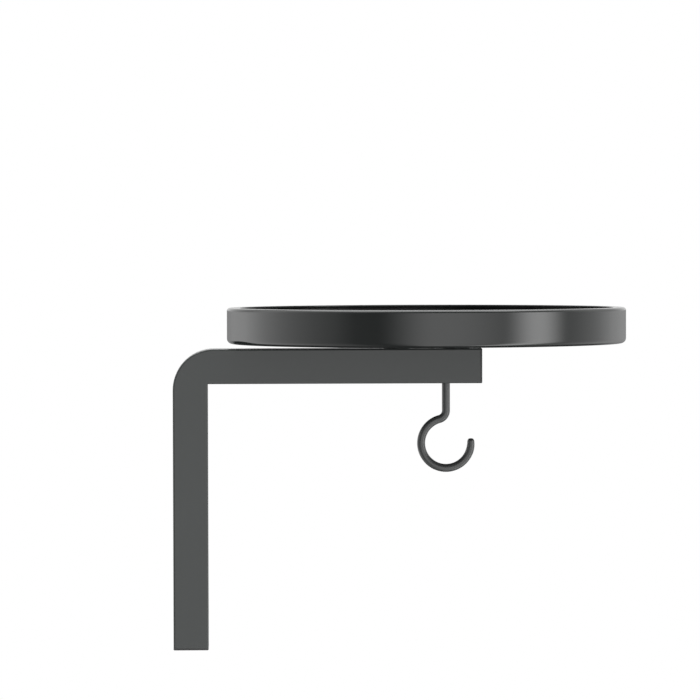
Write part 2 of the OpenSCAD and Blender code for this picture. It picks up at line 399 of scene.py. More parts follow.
# %% Group: edges
BEVEL_SAMPLES = 6
EDGE_CONTRAST = 6.0
RAGGED_SCALE = 900.0


def edge_group():
    """Width is the edge's width in mm, and Raggedness how far noise eats into the mask."""
    tree, given, result = new_group(
        "edges",
        [("Width", FLOAT, 0.6), ("Place", VECTOR, None), ("Raggedness", FLOAT, 0.3)],
        [("Mask", FLOAT)],
    )
    radius = maths(tree, "MULTIPLY", given.outputs["Width"], MM)
    rounded = add(tree, "Bevel", settings={"samples": BEVEL_SAMPLES}, Radius=radius)
    true_normal = add(tree, "NewGeometry").outputs["Normal"]
    alike = likeness(tree, rounded.outputs[0], true_normal)
    turned = maths(tree, "SUBTRACT", 1.0, alike)
    scaled = maths(tree, "MULTIPLY", turned, EDGE_CONTRAST, clamp=True)
    patchy = noise(tree, given.outputs["Place"], RAGGED_SCALE, detail=3.0, roughness=0.6)
    bite = maths(tree, "MULTIPLY", patchy, given.outputs["Raggedness"])
    feed(tree, result, Mask=maths(tree, "SUBTRACT", scaled, bite, clamp=True))
    return tree


EDGES = edge_group()
print("group", EDGES.name)

# %% [markdown]
# ## What every finish needs
#
# Each finish below is a function that makes one material: a tone, a roughness and a slight relief.
# They share a few steps. A noise texture rarely leaves the range from 0.3 to 0.7, so that range is
# spread over the smoothest and the roughest gloss. Numbers that are the same all over are set on
# the shader's own sockets.

# %% Helpers for finishes
NOISE_RANGE = (0.3, 0.7)


def new_material(name):
    """Material with a Principled shader, and the object's own coordinates to hang patterns on."""
    material = bpy.data.materials.new(name)
    material.use_nodes = True
    tree = material.node_tree
    return material, tree, add(tree, "TexCoord").outputs["Object"]


def mix_colours(tree, share, first, second):
    """Blends one colour into another, each given as three numbers or as a socket."""
    ends = [c if isinstance(c, bpy.types.NodeSocket) else (*c, 1) for c in (first, second)]
    node = add(tree, "Mix", settings={"data_type": "RGBA"}, _0=share, _6=ends[0], _7=ends[1])
    return node.outputs[2]


def drifting_gloss(tree, pattern, gloss):
    """Roughness that follows a noise pattern. gloss is (smoothest, roughest)."""
    node = add(
        tree, "MapRange", Value=pattern, From_Min=NOISE_RANGE[0], From_Max=NOISE_RANGE[1],
        To_Min=gloss[0], To_Max=gloss[1],
    )
    return node.outputs[0]


def coat(material, colour, roughness, height, depth, strength=1.0):
    """Feeds the material's shader. The relief's height pattern is depth mm deep."""
    tree = material.node_tree
    shader = tree.nodes["Principled BSDF"]
    bump = add(tree, "Bump", Strength=strength, Distance=depth * MM, Height=height)
    feed(tree, shader, Base_Color=colour, Roughness=roughness, Normal=bump.outputs[0])
    print("material", material.name)
    return shader


# %% [markdown]
# ## Powder coat
#
# The bracket, tray and hook share one recipe: a very dark, nearly neutral grey under a clear
# dielectric surface. What looks mid-grey in the room is mostly reflection, so the base colour stays
# close to black. Two near-black tones are mixed by the unevenness, the gloss drifts with it, and
# the edge mask lifts the tone and the gloss where the coat is thin.

# %% Powder coat recipe
WORN_TONE = 0.35
WORN_GLOSS = 0.15


def powder_coat(name, dark, light, edge, gloss, ripple, depth, ior=1.5):
    """Satin powder coat. gloss is (smoothest, roughest); depth is the ripple's height in mm."""
    material, tree, place = new_material(name)
    peel = use_group(tree, ORANGE_PEEL, Place=place, Ripple=ripple)
    edges = use_group(tree, EDGES, Place=place, Width=0.5)
    tone = mix_colours(tree, peel.outputs["Unevenness"], dark, light)
    worn = maths(tree, "MULTIPLY", edges.outputs["Mask"], WORN_TONE)
    colour = mix_colours(tree, worn, tone, edge)
    rough = drifting_gloss(tree, peel.outputs["Unevenness"], gloss)
    smoother = maths(tree, "MULTIPLY", worn, WORN_GLOSS)
    roughness = maths(tree, "SUBTRACT", rough, smoother, clamp=True)
    shader = coat(material, colour, roughness, peel.outputs["Height"], depth)
    shader.inputs["IOR"].default_value = ior
    return material


bracket_paint = powder_coat(
    "bracket_powder_coat", dark=(0.0255, 0.029, 0.0285), light=(0.0315, 0.035, 0.034),
    edge=(0.07, 0.075, 0.074), gloss=(0.13, 0.17), ripple=1.5, depth=0.002, ior=1.4,
)
tray_paint = powder_coat(
    "tray_powder_coat", dark=(0.0065, 0.008, 0.0077), light=(0.009, 0.0105, 0.0102),
    edge=(0.07, 0.075, 0.074), gloss=(0.10, 0.13), ripple=1.8, depth=0.002,
)
hook_paint = powder_coat(
    "hook_powder_coat", dark=(0.03, 0.032, 0.032), light=(0.038, 0.04, 0.04),
    edge=(0.08, 0.083, 0.083), gloss=(0.28, 0.34), ripple=1.1, depth=0.004,
)

# %% [markdown]
# ## Plastics
#
# The end caps are moulded in black plastic with the fine, dull grain of a spark-eroded mould. The
# spacers are nylon, which is smoother and lets a little light in. Both use the same orange peel
# group at other sizes: what is a ripple on paint is grain on plastic.

# %% Plastic recipe
RUBBED_PALER = 0.4
MOTTLE = 0.25


def moulded_plastic(name, colour, lighter, gloss, grain, depth):
    """Dull moulded plastic with a grain in mm, a little paler where its edges are rubbed."""
    material, tree, place = new_material(name)
    peel = use_group(
        tree, ORANGE_PEEL, Place=place, Ripple=grain, Bite=grain / 3, Bite_Share=0.4,
    )
    edges = use_group(tree, EDGES, Place=place, Width=0.3, Raggedness=0.5)
    rubbed = maths(tree, "MULTIPLY", edges.outputs["Mask"], RUBBED_PALER)
    mottle = maths(tree, "MULTIPLY", peel.outputs["Unevenness"], MOTTLE)
    mixed = maths(tree, "ADD", rubbed, mottle, clamp=True)
    tone = mix_colours(tree, mixed, colour, lighter)
    rough = drifting_gloss(tree, peel.outputs["Height"], gloss)
    coat(material, tone, rough, peel.outputs["Height"], depth)
    return material


cap_plastic = moulded_plastic(
    "cap_plastic_grained", colour=(0.012, 0.0125, 0.013), lighter=(0.03, 0.03, 0.031),
    gloss=(0.42, 0.58), grain=0.3, depth=0.02,
)
spacer_nylon = moulded_plastic(
    "spacer_nylon_smooth", colour=(0.014, 0.014, 0.014), lighter=(0.035, 0.035, 0.035),
    gloss=(0.36, 0.46), grain=0.9, depth=0.006,
)
spacer_nylon.node_tree.nodes["Principled BSDF"].inputs["Subsurface Weight"].default_value = 0.02

# %% [markdown]
# ## Zinc
#
# The screws are black zinc and the nuts bright zinc, both thin coats that keep the marks of the
# lathe and the press below them. Turning marks are rings round the part's own axis, so they are a
# wave pattern of the height, broken up by noise. Plating also clouds: patches differ in gloss.

# %% Group: turning marks
WAVE_SCALE = 314.16


def turning_group():
    """Pitch is the distance from one turning mark to the next in mm, Cloud Size a patch's size."""
    tree, given, result = new_group(
        "turning_marks",
        [("Place", VECTOR, None), ("Pitch", FLOAT, 0.12), ("Cloud Size", FLOAT, 3.0)],
        [("Marks", FLOAT), ("Cloud", FLOAT)],
    )
    # The wave texture repeats every 2 pi / (20 x scale) metres, so a scale of 314.16 gives 1 mm
    scale = maths(tree, "DIVIDE", WAVE_SCALE, given.outputs["Pitch"])
    rings = add(
        tree, "TexWave", settings={"bands_direction": "Z"},
        Vector=given.outputs["Place"], Scale=scale, Distortion=1.5, Detail=2.0,
    )
    cloud_scale = maths(tree, "DIVIDE", 1 / MM, given.outputs["Cloud Size"])
    cloud = noise(tree, given.outputs["Place"], cloud_scale, detail=4.0)
    feed(tree, result, Marks=rings.outputs["Fac"], Cloud=cloud)
    return tree


TURNING = turning_group()
print("group", TURNING.name)

# %% [markdown]
# The two kinds of zinc are one recipe. The clouds shift both tone and gloss, and where an edge is
# rubbed the tone goes half way to a brighter one.

# %% Zinc recipe
RUBBED_SHARE = 0.5
RUBBED_BRIGHTER = 1.5
MARK_DEPTH = 0.004
MARK_STRENGTH = 0.6


def zinc_plate(name, dark, light, gloss, metal):
    """Plated steel: clouded tone and gloss, fine turning marks, edges rubbed bright."""
    material, tree, place = new_material(name)
    marks = use_group(tree, TURNING, Place=place)
    edges = use_group(tree, EDGES, Place=place, Width=0.15, Raggedness=0.4)
    cloud = mix_colours(tree, marks.outputs["Cloud"], dark, light)
    rubbed = maths(tree, "MULTIPLY", edges.outputs["Mask"], RUBBED_SHARE)
    bright = [min(1, c * RUBBED_BRIGHTER) for c in light]
    tone = mix_colours(tree, rubbed, cloud, bright)
    rough = drifting_gloss(tree, marks.outputs["Cloud"], gloss)
    shader = coat(material, tone, rough, marks.outputs["Marks"], MARK_DEPTH, MARK_STRENGTH)
    shader.inputs["Metallic"].default_value = metal
    return material


black_zinc = zinc_plate(
    "screw_black_zinc", dark=(0.03, 0.03, 0.033), light=(0.06, 0.06, 0.062),
    gloss=(0.3, 0.45), metal=0.9,
)
bright_zinc = zinc_plate(
    "nut_bright_zinc", dark=(0.5, 0.52, 0.54), light=(0.66, 0.67, 0.68),
    gloss=(0.22, 0.38), metal=1.0,
)

# %% [markdown]
# ## Dress the parts that stay
#
# Where the solid's shape is already right, it stays as it is and only its material slot changes.

# %% Give the loaded parts their finish
FINISHES = {
    "bracket": bracket_paint,
    "tray_spacers": spacer_nylon,
}
for name, material in FINISHES.items():
    for material_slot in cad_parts[name].material_slots:
        material_slot.material = material
    print(f"{name} gets {material.name}")

# %% [markdown]
# ## Skins of rings
#
# Every part that gets a mesh of its own is made in much the same way: rings of points are stacked
# along an axis or a wire, and each is joined to the next by a band of quads. The result is one
# closed skin with no faces inside. For round parts the rings are circles round one axis. A relief
# lets each ring's radius change with the angle: with none it turns a plain profile, and with a
# helical one it cuts a thread.

# %% Join rings into a skin
def join_rows(mesh, lower, upper):
    """Quads between two rows of vertices that both go once round."""
    count = len(lower)
    for i in range(count):
        j = (i + 1) % count
        mesh.faces.new((lower[i], lower[j], upper[j], upper[i]))


def add_rings(mesh, rings):
    """Adds rings of points, all of one count, joined in order. Gives the rows of vertices."""
    rows = [[mesh.verts.new(point) for point in ring] for ring in rings]
    for lower, upper in zip(rows, rows[1:]):
        join_rows(mesh, lower, upper)
    return rows


def skin(rings, closed):
    """Mesh of joined rings. closed joins last to first, and otherwise both ends get a face."""
    mesh = bmesh.new()
    rows = add_rings(mesh, rings)
    if closed:
        join_rows(mesh, rows[-1], rows[0])
    else:
        mesh.faces.new(reversed(rows[0]))
        mesh.faces.new(rows[-1])
    return mesh


def turned_rings(profile, sides, relief=None):
    """Rings round the Z axis for (radius, z) points. relief(radius, z, angle) gives a radius."""
    rings = []
    for radius, z in profile:
        ring = []
        for i in range(sides):
            angle = 2 * math.pi * i / sides
            r = relief(radius, z, angle) if relief else radius
            ring.append((r * math.cos(angle), r * math.sin(angle), z))
        rings.append(ring)
    return rings


def move_out(mesh, x):
    """Moves a mesh out from the wall."""
    bmesh.ops.translate(mesh, verts=mesh.verts, vec=(x, 0, 0))
    return mesh


def fine_steps(start, end, step):
    """Numbers from start to end, no further apart than step."""
    count = max(1, math.ceil(abs(end - start) / step))
    return [start + (end - start) * i / count for i in range(count + 1)]


# %% [markdown]
# A finished mesh becomes a piece of the scene. Its faces are shaded smooth, except across edges
# that turn by more than 35 degrees. It rides on one of the bodies, so that it moves as that does,
# and it stands for the solids that it replaces.

# %% Turn a mesh into a piece
SHARP_TURN = math.radians(35)


def piece_from(mesh, name, material, body, *nodes):
    """Turns a finished bmesh into a piece that rides on a body and stands for solids."""
    bmesh.ops.recalc_face_normals(mesh, faces=mesh.faces)
    data = bpy.data.meshes.new(name)
    mesh.to_mesh(data)
    mesh.free()
    data.shade_smooth()
    data.set_sharp_from_angle(angle=SHARP_TURN)
    data.materials.append(material)
    piece = bpy.data.objects.new(name, data)
    scene.collection.objects.link(piece)
    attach(piece, body)
    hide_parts(*nodes)
    low = [round(min(v.co[i] for v in data.vertices) / MM, 2) for i in range(3)]
    high = [round(max(v.co[i] for v in data.vertices) / MM, 2) for i in range(3)]
    print(name, low, high, len(data.polygons), "faces")
    return piece


# %% [markdown]
# ## The end caps
#
# A cap is a moulded plug: a thin square flange, and a hollow shank whose two fins grip the inside
# of the tube. It is square all the way up, so its rings are squares with round corners instead of
# circles. The flange's outer edge is rounded, as moulded edges mostly are, and that rounding is
# what shows at the two ends of the tube.

# %% Measure the cap's section
CAP_CORNER = 1.0 * MM
CAP_EDGE = 0.5 * MM
CAP_EDGE_STEPS = 8
CAP_FACE_INSET = 0.1 * MM
CAP_FLANGE = 1.2 * MM
CAP_DEPTH = 6.0 * MM
CAP_BORE_HALF = 6.6 * MM
SHANK_HALF = 8.0 * MM
SHANK_CORNER = 0.4 * MM
SHANK_BREAK = 0.2 * MM
FIN_PLACES = (0.25, 0.75)
FIN_OUT = 0.45 * MM
# A fin's section in steps up the shank: whether the step is out on the fin, and its height in mm
FIN_STEPS = ((0, 0.0), (1, 0.1), (1, 0.4), (0, 0.8))


def shank_section():
    """Section of the shank as (half width, z), up its finned outside and down its bore."""
    top = CAP_FLANGE + CAP_DEPTH
    section = [(SHANK_HALF, CAP_FLANGE)]
    for share in FIN_PLACES:
        z = CAP_FLANGE + share * CAP_DEPTH
        section += [(SHANK_HALF + out * FIN_OUT, z + up * MM) for out, up in FIN_STEPS]
    section += [(SHANK_HALF, top - SHANK_BREAK), (SHANK_HALF - SHANK_BREAK, top)]
    section += [(CAP_BORE_HALF, top), (CAP_BORE_HALF, CAP_FLANGE)]
    return section


print(f"cap {(CAP_FLANGE + CAP_DEPTH) / MM:.1f} mm deep with {len(FIN_PLACES)} fins")

# %% [markdown]
# The cap is built standing on its outer face. The leg's cap stays that way, with its face down, and
# the arm's cap is tipped over so that its face looks out.

# %% Mould the end caps
def square_ring(half, corner, z, steps=6):
    """Ring of points round a square of a half width, with round corners, at height z."""
    middle = half - corner
    ring = []
    for quarter, (sx, sy) in enumerate(((1, 1), (-1, 1), (-1, -1), (1, -1))):
        for i in range(steps + 1):
            a = (quarter + i / steps) * math.pi / 2
            ring.append((sx * middle + corner * math.cos(a), sy * middle + corner * math.sin(a), z))
    return ring


def cap_mesh(half):
    """One cap with a flange of a half width, its outer face at height 0 and its shank above."""
    rings = [square_ring(half - CAP_EDGE - CAP_FACE_INSET, CAP_CORNER - CAP_EDGE, 0)]
    for i in range(CAP_EDGE_STEPS + 1):
        a = i / CAP_EDGE_STEPS * math.pi / 2
        inset = CAP_EDGE * (1 - math.sin(a))
        rings.append(square_ring(half - inset, CAP_CORNER - inset, CAP_EDGE * (1 - math.cos(a))))
    rings.append(square_ring(half, CAP_CORNER, CAP_FLANGE))
    rings += [square_ring(shank, SHANK_CORNER, z) for shank, z in shank_section()]
    return skin(rings, closed=False)


for name, turn in (("arm_end_cap", -90), ("leg_end_cap", 0)):
    cap_low, cap_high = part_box(name)
    middle = (cap_low + cap_high) / 2
    if turn:
        middle.x = cap_high.x
    else:
        middle.z = cap_low.z
    mesh = cap_mesh((cap_high.y - cap_low.y) / 2)
    place = Matrix.Translation(middle) @ Matrix.Rotation(math.radians(turn), 4, "Y")
    bmesh.ops.transform(mesh, matrix=place, verts=mesh.verts)
    cap = piece_from(mesh, name.replace("end_cap", "cap_moulding"), cap_plastic, "shelf", name)

# %% [markdown]
# ## The tray
#
# The tray is a disc of sheet, spun to shape: a flat floor, a bend up into the wall, and a tight
# bend in to the flat lip. The profile is one loop round the sheet's section. Guard rings stand
# close to both ends of every bend, so that the smooth shading of the bend doesn't creep into the
# flat beside it.

# %% Draw the sheet's section
SHEET = 1.2 * MM
BASE_BEND = 3.0 * MM
LIP_BEND = 1.75 * MM
LIP_WIDTH = 7.0 * MM
LIP_BREAK = 0.25 * MM
PRESSED_DROP = 1.399 * MM
FLOOR_PLATE_R = 27 * MM
GUARD = 1.0 * MM
CLOSE_GUARD = 0.5 * MM
GUARD_TURN = 0.12

tray_low, tray_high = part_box("tray")
tray_x = (tray_low.x + tray_high.x) / 2
tray_r = (tray_high.x - tray_low.x) / 2
floor_low = tray_low.z + PRESSED_DROP
print(f"tray {2 * tray_r / MM:.1f} mm across, {(tray_high.z - floor_low) / MM:.1f} mm high")


def bend(centre_r, centre_z, radius, a0, a1, count=10):
    """Points of a bend in the section, with one more ring close to each of its ends."""
    points = []
    steps = [a0 + (a1 - a0) * i / count for i in range(count + 1)]
    share = GUARD_TURN / count
    steps = [a0, a0 + (a1 - a0) * share] + steps[1:-1] + [a1 - (a1 - a0) * share, a1]
    for a in steps:
        a = math.radians(a)
        points.append((centre_r + radius * math.cos(a), centre_z + radius * math.sin(a)))
    return points


def tray_section():
    """Section of the sheet as (radius, z), from the floor's top out, round the lip and back."""
    low, high = floor_low, tray_high.z
    base_r, base_z = tray_r - BASE_BEND, low + BASE_BEND
    lip_r, lip_z = tray_r - LIP_BEND, high - LIP_BEND
    lip_edge = tray_r - LIP_WIDTH
    edge_r = lip_edge + LIP_BREAK
    section = [(FLOOR_PLATE_R, low + SHEET), (base_r - GUARD, low + SHEET)]
    section += bend(base_r, base_z, BASE_BEND - SHEET, -90, 0)
    section += [(tray_r - SHEET, base_z + GUARD), (tray_r - SHEET, lip_z - GUARD)]
    section += bend(lip_r, lip_z, LIP_BEND - SHEET, 0, 90)
    section += [(lip_edge + GUARD, high - SHEET)]
    section += bend(edge_r, high - SHEET + LIP_BREAK, LIP_BREAK, 270, 180, count=4)
    section += bend(edge_r, high - LIP_BREAK, LIP_BREAK, 180, 90, count=4)
    section += [(lip_edge + GUARD, high), (lip_r - CLOSE_GUARD, high)]
    section += bend(lip_r, lip_z, LIP_BEND, 90, 0, count=14)
    section += [(tray_r, lip_z - CLOSE_GUARD), (tray_r, base_z + CLOSE_GUARD)]
    section += bend(base_r, base_z, BASE_BEND, 0, -90, count=14)
    section += [(base_r - GUARD, low), (FLOOR_PLATE_R, low)]
    return section


# %% [markdown]
# The middle of the floor is filled separately, round two screw holes whose rims are pressed down to
# countersinks. They sit off the tray's axis, so they're rings of their own. Each goes from the rim
# of its hole in the floor's top, down the cone, through the hole, and up the pressed cone outside.
# It starts and ends with a narrow flat band, which keeps the shading of the cone out of the floor.

# %% Press the countersinks and join the floor
HOLE_R = 2.2 * MM
SINK_R = 3.95 * MM
SINK_BREAK = 0.08 * MM
HOLE_BREAK = 0.02 * MM
PRESSED_R = 4.447 * MM
PRESSED_BREAK = 0.1 * MM
BAND_IN = 0.3 * MM
BAND_OUT = 0.7 * MM
TRAY_SIDES = 360
HOLE_SIDES = 64


def ring_edges(mesh, row):
    """The edges round one row of vertices."""
    return [mesh.edges.get((a, b)) for a, b in zip(row, row[1:] + row[:1])]


def countersink_section():
    """Section of one pressed countersink as (radius, z), down the inside and up the outside."""
    top = floor_low + SHEET
    cone_foot = top - (SINK_R - HOLE_R)
    section = [(SINK_R + BAND_OUT, top), (SINK_R + BAND_IN, top), (SINK_R, top - SINK_BREAK)]
    section += [(HOLE_R + HOLE_BREAK, cone_foot + HOLE_BREAK), (HOLE_R, cone_foot)]
    section += [(HOLE_R, tray_low.z), (PRESSED_R - PRESSED_DROP, tray_low.z)]
    section += [(PRESSED_R - PRESSED_BREAK, floor_low - PRESSED_BREAK)]
    section += [(PRESSED_R + BAND_IN, floor_low), (PRESSED_R + BAND_OUT, floor_low)]
    return section


def tray_mesh(hole_xs):
    """The whole tray: its spun rings, the countersinks, and the two skins of the floor."""
    mesh = bmesh.new()
    rows = add_rings(mesh, turned_rings(tray_section(), TRAY_SIDES))
    move_out(mesh, tray_x)
    upper, lower = [ring_edges(mesh, rows[0])], [ring_edges(mesh, rows[-1])]
    for x in hole_xs:
        rings = turned_rings(countersink_section(), HOLE_SIDES)
        sink = add_rings(mesh, [[(x + px, py, pz) for px, py, pz in ring] for ring in rings])
        upper.append(ring_edges(mesh, sink[0]))
        lower.append(ring_edges(mesh, sink[-1]))
    for plate in (upper, lower):
        edges = [edge for ring in plate for edge in ring]
        bmesh.ops.triangle_fill(mesh, edges=edges, use_beauty=True)
    return mesh


screws_low, screws_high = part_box("tray_screws")
head_r = (screws_high.y - screws_low.y) / 2
screw_xs = [screws_low.x + head_r, screws_high.x - head_r]
tray = piece_from(tray_mesh(screw_xs), "spun_tray", tray_paint, "shelf", "tray")

# %% [markdown]
# ## Threads
#
# The hook, the screws and the nuts share one thread, 4 mm across and 0.7 mm from turn to turn. Its
# depth at a point depends on how far round and how far up the point is, and it fades out at both
# ends. It's part of the skin, and not a separate spring laid over it, so the mesh stays closed.

# %% Cut a thread
THREAD_D = 4.0 * MM
THREAD_PITCH = 0.7 * MM
THREAD_DEPTH = 0.36 * MM
THREAD_CHAMFER = 0.5 * MM
THREAD_STEP = 0.07 * MM
FLANK_SLOPE = 2.4
CREST_FLAT = 0.2


def thread_share(z, angle, low, high, run_out):
    """How deep the thread is cut at a point, from 0 on its crest to 1 at its root."""
    along = (z / THREAD_PITCH - angle / (2 * math.pi)) % 1.0
    flank = min(1.0, max(0.0, abs(along - 0.5) * FLANK_SLOPE - CREST_FLAT))
    inside = min(z - low, high - z) / run_out
    return flank * min(1.0, max(0.0, inside))


def helical_groove(low, high, run_out):
    """Relief that sinks the thread into a round bar between two heights."""
    def relief(radius, z, angle):
        return radius - THREAD_DEPTH * thread_share(z, angle, low, high, run_out)
    return relief


print(f"thread {THREAD_D / MM:.1f} mm across, pitch {THREAD_PITCH / MM:.1f} mm")

# %% [markdown]
# ## The hook
#
# The hook is one length of round wire: a thread, a straight shank, a short bend back, and an open
# ring. Its sizes come from the solid hook's box, so that the two agree, and only the bend, the
# thread and the tip's angle are given again. The bend and the ring curve opposite ways and meet
# without a corner, so the bend's angle follows from the two radii.

# %% Measure the hook
BEND_R = 5.1 * MM
TIP_ANGLE = math.radians(1.5)
THREAD_LEN = 6.0 * MM

hook_low, hook_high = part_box("hook")
weld_low, weld_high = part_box("hook_weld_nut")
wire_r = (hook_high.y - hook_low.y) / 2
hook_x = (weld_low.x + weld_high.x) / 2
ring_r = hook_x - hook_low.x - wire_r
ring_z = hook_low.z + ring_r + wire_r
bend_angle = math.acos(BEND_R / (BEND_R + ring_r))
bend_z = ring_z + (BEND_R + ring_r) * math.sin(bend_angle)
thread_base = hook_high.z - THREAD_LEN
print(f"wire {2 * wire_r / MM:.1f} mm thick, bent by {math.degrees(bend_angle):.1f} degrees")

# %% [markdown]
# The wire's centre line is a list of points, each with the way that the wire runs there and its
# radius. Straight stretches and arcs follow each other, and the last bit before the tip tapers, as
# it does where the wire is cut and tumbled.

# %% Follow the wire
SHOULDER_BREAK = 0.05 * MM
SHOULDER_TOP = 0.02 * MM
SHOULDER_FOOT = 0.06 * MM
SHANK_STEP = 2 * MM
BEND_STEP = math.radians(4)
RING_STEP = math.radians(3)
TAPER = math.radians(20)
TAPER_SHARE = 0.1
TAPER_CURVE = 1.5


def wire_path():
    """Points of the centre line in the X-Z plane from the thread's top down to the tip, as
    (x, z, way, radius). The way is the angle at which the wire runs."""
    down = math.radians(-90)
    thread_r = THREAD_D / 2
    path = [(hook_x, hook_high.z, down, thread_r - THREAD_CHAMFER)]
    thread_zs = fine_steps(hook_high.z - THREAD_CHAMFER, thread_base, THREAD_STEP)
    path += [(hook_x, z, down, thread_r) for z in thread_zs]
    path.append((hook_x, thread_base - SHOULDER_TOP, down, wire_r - SHOULDER_BREAK))
    shank_zs = fine_steps(thread_base - SHOULDER_FOOT, bend_z, SHANK_STEP)[:-1]
    path += [(hook_x, z, down, wire_r) for z in shank_zs]
    bend_x = hook_x - BEND_R
    for a in fine_steps(0, -bend_angle, BEND_STEP):
        x, z = bend_x + BEND_R * math.cos(a), bend_z + BEND_R * math.sin(a)
        path.append((x, z, a - math.pi / 2, wire_r))
    tip = 2 * math.pi + TIP_ANGLE
    for a in fine_steps(math.pi - bend_angle, tip, RING_STEP)[1:]:
        x, z = hook_x + ring_r * math.cos(a), ring_z + ring_r * math.sin(a)
        tapered = max(0.0, 1 - (tip - a) / TAPER)
        path.append((x, z, a + math.pi / 2, wire_r * (1 - TAPER_SHARE * tapered ** TAPER_CURVE)))
    return path


# %% [markdown]
# Sweeping rings along the centre line makes the wire. On the threaded end the groove changes each
# ring's radius. The cut tip is dressed to a blunt round: a few last rings shrink along the wire's
# end.

# %% Sweep the wire
HOOK_SIDES = 40
HOOK_THREAD_START = 0.3 * MM
HOOK_RUN_OUT = 0.7 * MM
DOME_TURN = math.radians(86)
DOME_STEP = math.radians(8)
DOME_CURVE = 0.6


def wire_ring(centre, way, radius_at):
    """Ring of points square to the wire. radius_at gives the radius at an angle round it."""
    side = Vector((-math.sin(way), 0, math.cos(way)))
    ring = []
    for i in range(HOOK_SIDES):
        angle = 2 * math.pi * i / HOOK_SIDES
        r = radius_at(angle)
        ring.append(centre + side * (r * math.cos(angle)) + Vector((0, r * math.sin(angle), 0)))
    return ring


def hook_mesh():
    """The whole hook, from the thread's top to the rounded tip."""
    groove = helical_groove(thread_base + HOOK_THREAD_START, hook_high.z, HOOK_RUN_OUT)
    path = wire_path()
    rings = []
    for x, z, way, radius in path:
        threaded = z > thread_base
        rings.append(wire_ring(
            Vector((x, 0, z)), way,
            lambda angle: groove(radius, z, angle) if threaded else radius,
        ))
    x, z, way, radius = path[-1]
    ahead = Vector((math.cos(way), 0, math.sin(way)))
    for a in fine_steps(0, DOME_TURN, DOME_STEP)[1:]:
        centre = Vector((x, 0, z)) + ahead * (wire_r * math.sin(a))
        rings.append(wire_ring(centre, way, lambda angle: radius * math.cos(a) ** DOME_CURVE))
    return skin(rings, closed=False)


hook = piece_from(hook_mesh(), "hook_wire", hook_paint, "hook", "hook")

# %% [markdown]
# ## The tray screws
#
# Flat-head machine screws, sunk in the tray's floor. The cone and the threaded shank are turned.
# The cross recess is narrower at the bottom than at the top, as the punch leaves it, and has
# sloped corners where the wings meet. Its outline is joined to the head's rim by a triangle fill,
# which keeps the whole screw one closed skin without cutting anything away.

# %% Sink the cross recess
# Levels of the recess in mm: depth below the face, span, width of a wing, and sloped corner
RECESS = [
    (0.0, 4.3, 1.05, 0.42), (0.25, 4.0, 0.98, 0.4), (1.6, 2.3, 0.7, 0.3), (1.85, 1.3, 0.55, 0.2),
]


def cross_outline(span, width, corner):
    """Outline of a cross recess, counter-clockwise, with its inner corners cut at 45 degrees."""
    points = []
    half, long, near = width / 2, span / 2, width / 2 + corner
    for quarter in range(4):
        a = quarter * math.pi / 2
        for x, y in ((long, -half), (long, half), (near, half), (half, near)):
            points.append((x * math.cos(a) - y * math.sin(a), x * math.sin(a) + y * math.cos(a)))
    return points


def sink_recess(mesh, rim, top):
    """Closes a head inside its rim's row of vertices with a face that has the recess in it."""
    rows = []
    for depth, span, width, corner in RECESS:
        outline = cross_outline(span * MM, width * MM, corner * MM)
        rows.append([mesh.verts.new((px, py, top - depth * MM)) for px, py in outline])
    rim_edges = ring_edges(mesh, rim)
    mouth = [mesh.edges.new((a, b)) for a, b in zip(rows[0], rows[0][1:] + rows[0][:1])]
    bmesh.ops.triangle_fill(mesh, edges=rim_edges + mouth, use_beauty=True)
    for upper, lower in zip(rows, rows[1:]):
        join_rows(mesh, upper, lower)
    mesh.faces.new(rows[-1])


print(f"recess {RECESS[0][1]} mm wide and {RECESS[-1][0]} mm deep")

# %% [markdown]
# The screw's profile goes up the shank in steps fine enough for the thread, and then out along the
# cone to the head's edge, which is broken by a few hundredths so that it catches the light.

# %% Turn the tray screws
SCREW_SIDES = 48
SCREW_RUN_OUT = 0.6 * MM
PLAIN_NECK = 0.8 * MM
NECK_RINGS = 0.9 * MM
# The head's edge from the cone to the face, in mm inwards from its radius and below the face
HEAD_EDGE = ((0.12, 0.12), (0.0, 0.05), (0.04, 0.0))


def screw_mesh(x, top, bottom, head_r, shank_r):
    """One screw with its head's face at height top."""
    neck = top - (head_r - shank_r)
    thread_zs = fine_steps(bottom + THREAD_CHAMFER, neck - NECK_RINGS, THREAD_STEP)
    profile = [(shank_r - THREAD_CHAMFER, bottom)] + [(shank_r, z) for z in thread_zs + [neck]]
    profile += [(head_r - inwards * MM, top - below * MM) for inwards, below in HEAD_EDGE]
    groove = helical_groove(bottom, neck - PLAIN_NECK, SCREW_RUN_OUT)
    mesh = bmesh.new()
    rows = add_rings(mesh, turned_rings(profile, SCREW_SIDES, groove))
    mesh.faces.new(reversed(rows[0]))
    sink_recess(mesh, rows[-1], top)
    return move_out(mesh, x)


for label, x in zip(("inner", "outer"), screw_xs):
    mesh = screw_mesh(x, screws_high.z, screws_low.z, head_r, THREAD_D / 2)
    screw = piece_from(mesh, f"tray_screw_{label}", black_zinc, "shelf", "tray_screws")

# %% [markdown]
# ## Nuts
#
# Both kinds of nut are closed loops of rings that go up the outside and down the bore. The bore's
# thread is cut outwards, so that it never touches the screw's. What the outside needs differs, so
# the relief takes that as another function.

# %% Thread a bore
BORE_R = 2.05 * MM
BORE_CHAMFER = 0.35 * MM
BORE_THREAD_DEPTH = 0.32 * MM
BORE_RUN_OUT = 0.4 * MM
SAME_RADIUS = 0.01 * MM


def nut_relief(low, high, outside):
    """Relief with the thread in the bore between two heights, and another one on the outside."""
    def relief(radius, z, angle):
        if radius <= BORE_R + SAME_RADIUS:
            return radius + BORE_THREAD_DEPTH * thread_share(z, angle, low, high, BORE_RUN_OUT)
        return outside(radius, z, angle)
    return relief


print(f"bore {2 * BORE_R / MM:.1f} mm across")

